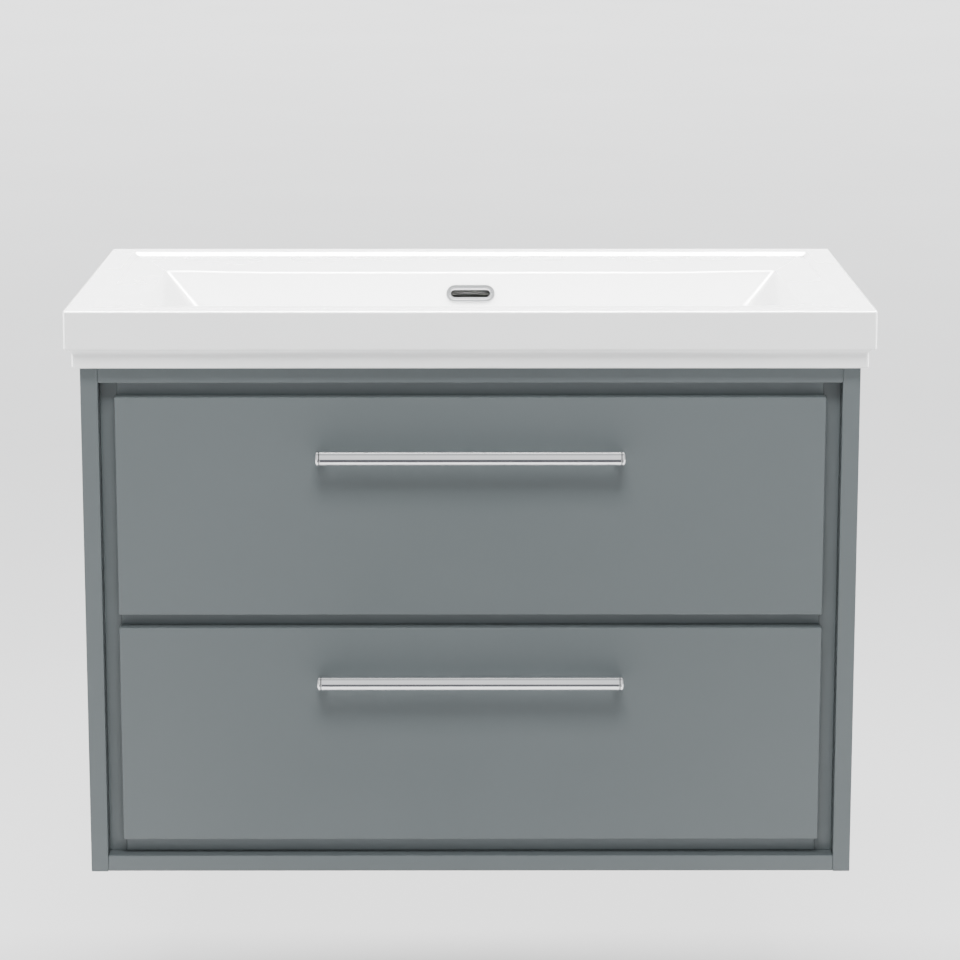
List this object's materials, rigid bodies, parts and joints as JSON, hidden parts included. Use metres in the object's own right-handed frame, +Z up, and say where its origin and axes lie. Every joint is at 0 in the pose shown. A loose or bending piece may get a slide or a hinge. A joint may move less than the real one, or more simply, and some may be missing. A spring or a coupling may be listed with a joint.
{
  "type": "wall-hung bathroom vanity cabinet",
  "caption": "Wall-hung vanity with a thick-rimmed ceramic basin over a painted cabinet with inset drawers, round chrome bar handles and a bottle trap inside.",
  "frame": {"origin": "midway between the two hanger holes of the rear top rail, on the wall plane", "axes": "+Z up, -Y towards the user, out of the wall; +X to the right as seen by the user; y = 0 is the wall plane"},
  "size_m": [0.828, 0.5347, 0.6],
  "materials": {
    "cabinet_paint": "satin grey-blue paint on board",
    "drawer_board": "pale matt foil on board",
    "rail_board": "plain board",
    "basin_glaze": "gloss white glaze",
    "chrome_plate": "polished",
    "zinc_steel": "zinc plated",
    "white_plastic": "moulded, slight sheen",
    "soft_rubber": "matt"
  },
  "bodies": {
    "cabinet": {"basin": "basin_glaze", "bottom_panel": "cabinet_paint", "bracket_screws": "zinc_steel", "carcass_bottom": "cabinet_paint", "carcass_side_left": "cabinet_paint", "carcass_side_right": "cabinet_paint", "drawer_bumpers": "soft_rubber", "hanger_bracket_left": "zinc_steel", "hanger_bracket_right": "zinc_steel", "lower_cabinet_runner_left": "zinc_steel", "lower_cabinet_runner_right": "zinc_steel", "mid_rail": "cabinet_paint", "outlet_pipe": "white_plastic", "overflow_trim": "chrome_plate", "rear_bottom_rail": "rail_board", "rear_top_rail": "rail_board", "recessed_top_rail": "cabinet_paint", "side_panel_left": "cabinet_paint", "side_panel_right": "cabinet_paint", "top_front_rail": "cabinet_paint", "trap_body": "white_plastic", "trap_bottle": "white_plastic", "trap_nuts": "white_plastic", "upper_cabinet_runner_left": "zinc_steel", "upper_cabinet_runner_right": "zinc_steel", "wall_rosette": "white_plastic", "waste_body": "chrome_plate", "waste_flange": "chrome_plate", "waste_nut": "chrome_plate", "waste_seals": "soft_rubber"},
    "upper_middle_runners": {"upper_middle_runner_left": "zinc_steel", "upper_middle_runner_right": "zinc_steel"},
    "lower_middle_runners": {"lower_middle_runner_left": "zinc_steel", "lower_middle_runner_right": "zinc_steel"},
    "waste_plug": {"waste_plug": "chrome_plate"},
    "upper_drawer": {"upper_cutout_board_front": "drawer_board", "upper_cutout_board_left": "drawer_board", "upper_cutout_board_right": "drawer_board", "upper_drawer_back_left": "drawer_board", "upper_drawer_back_right": "drawer_board", "upper_drawer_bottom": "drawer_board", "upper_drawer_front": "cabinet_paint", "upper_drawer_runner_left": "zinc_steel", "upper_drawer_runner_right": "zinc_steel", "upper_drawer_side_left": "drawer_board", "upper_drawer_side_right": "drawer_board", "upper_handle_bar": "chrome_plate", "upper_handle_posts": "chrome_plate", "upper_handle_screws": "zinc_steel"},
    "lower_drawer": {"lower_drawer_back": "drawer_board", "lower_drawer_bottom": "drawer_board", "lower_drawer_front": "cabinet_paint", "lower_drawer_runner_left": "zinc_steel", "lower_drawer_runner_right": "zinc_steel", "lower_drawer_side_left": "drawer_board", "lower_drawer_side_right": "drawer_board", "lower_handle_bar": "chrome_plate", "lower_handle_posts": "chrome_plate", "lower_handle_screws": "zinc_steel"}
  },
  "joints": [
    {"name": "upper_drawer_slide", "type": "slide", "parent": "cabinet", "child": "upper_drawer", "axis": [0, -1, 0], "range_m": [0, 0.38]},
    {"name": "lower_drawer_slide", "type": "slide", "parent": "cabinet", "child": "lower_drawer", "axis": [0, -1, 0], "range_m": [0, 0.38]},
    {"name": "upper_middle_slide", "type": "slide", "parent": "cabinet", "child": "upper_middle_runners", "axis": [0, -1, 0], "range_m": [0, 0.19]},
    {"name": "lower_middle_slide", "type": "slide", "parent": "cabinet", "child": "lower_middle_runners", "axis": [0, -1, 0], "range_m": [0, 0.19]},
    {"name": "waste_plug_slide", "type": "slide", "parent": "cabinet", "child": "waste_plug", "axis": [0, 0, 1], "range_m": [0, 0.007]}
  ],
  "couplings": [
    {"joint": "upper_middle_slide", "follows": "upper_drawer_slide", "ratio": 0.5},
    {"joint": "lower_middle_slide", "follows": "lower_drawer_slide", "ratio": 0.5}
  ]
}
